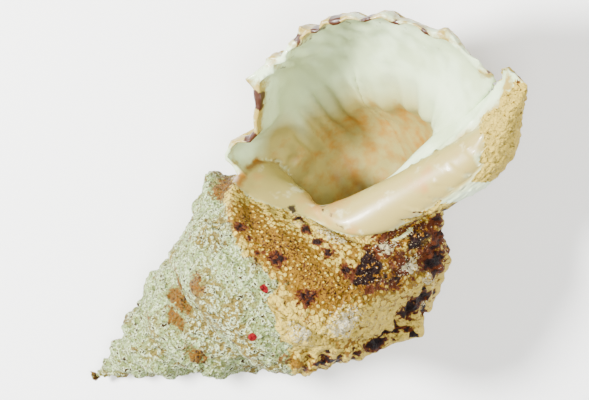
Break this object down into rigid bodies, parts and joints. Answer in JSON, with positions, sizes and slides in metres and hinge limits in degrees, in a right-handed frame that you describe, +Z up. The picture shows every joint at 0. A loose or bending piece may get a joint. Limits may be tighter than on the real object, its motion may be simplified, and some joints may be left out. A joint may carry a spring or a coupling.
{
  "type": "triton shell",
  "caption": "Large knobbed sea snail shell lying on its back, with a stepped spire, a wide flared mouth, a glazed inner lip and a short siphonal canal",
  "frame": {"origin": "centre of the bounding box on the surface that the shell rests on", "axes": "+X runs along the shell from the apex to the siphonal canal, +Y points to the outer lip, +Z is up, out of the mouth"},
  "size_m": [0.2224, 0.1202, 0.095],
  "materials": {
    "shell": "limy and rough outside, glazed like porcelain inside the mouth"
  },
  "bodies": {
    "root": {"triton_shell": "shell"}
  },
  "joints": []
}
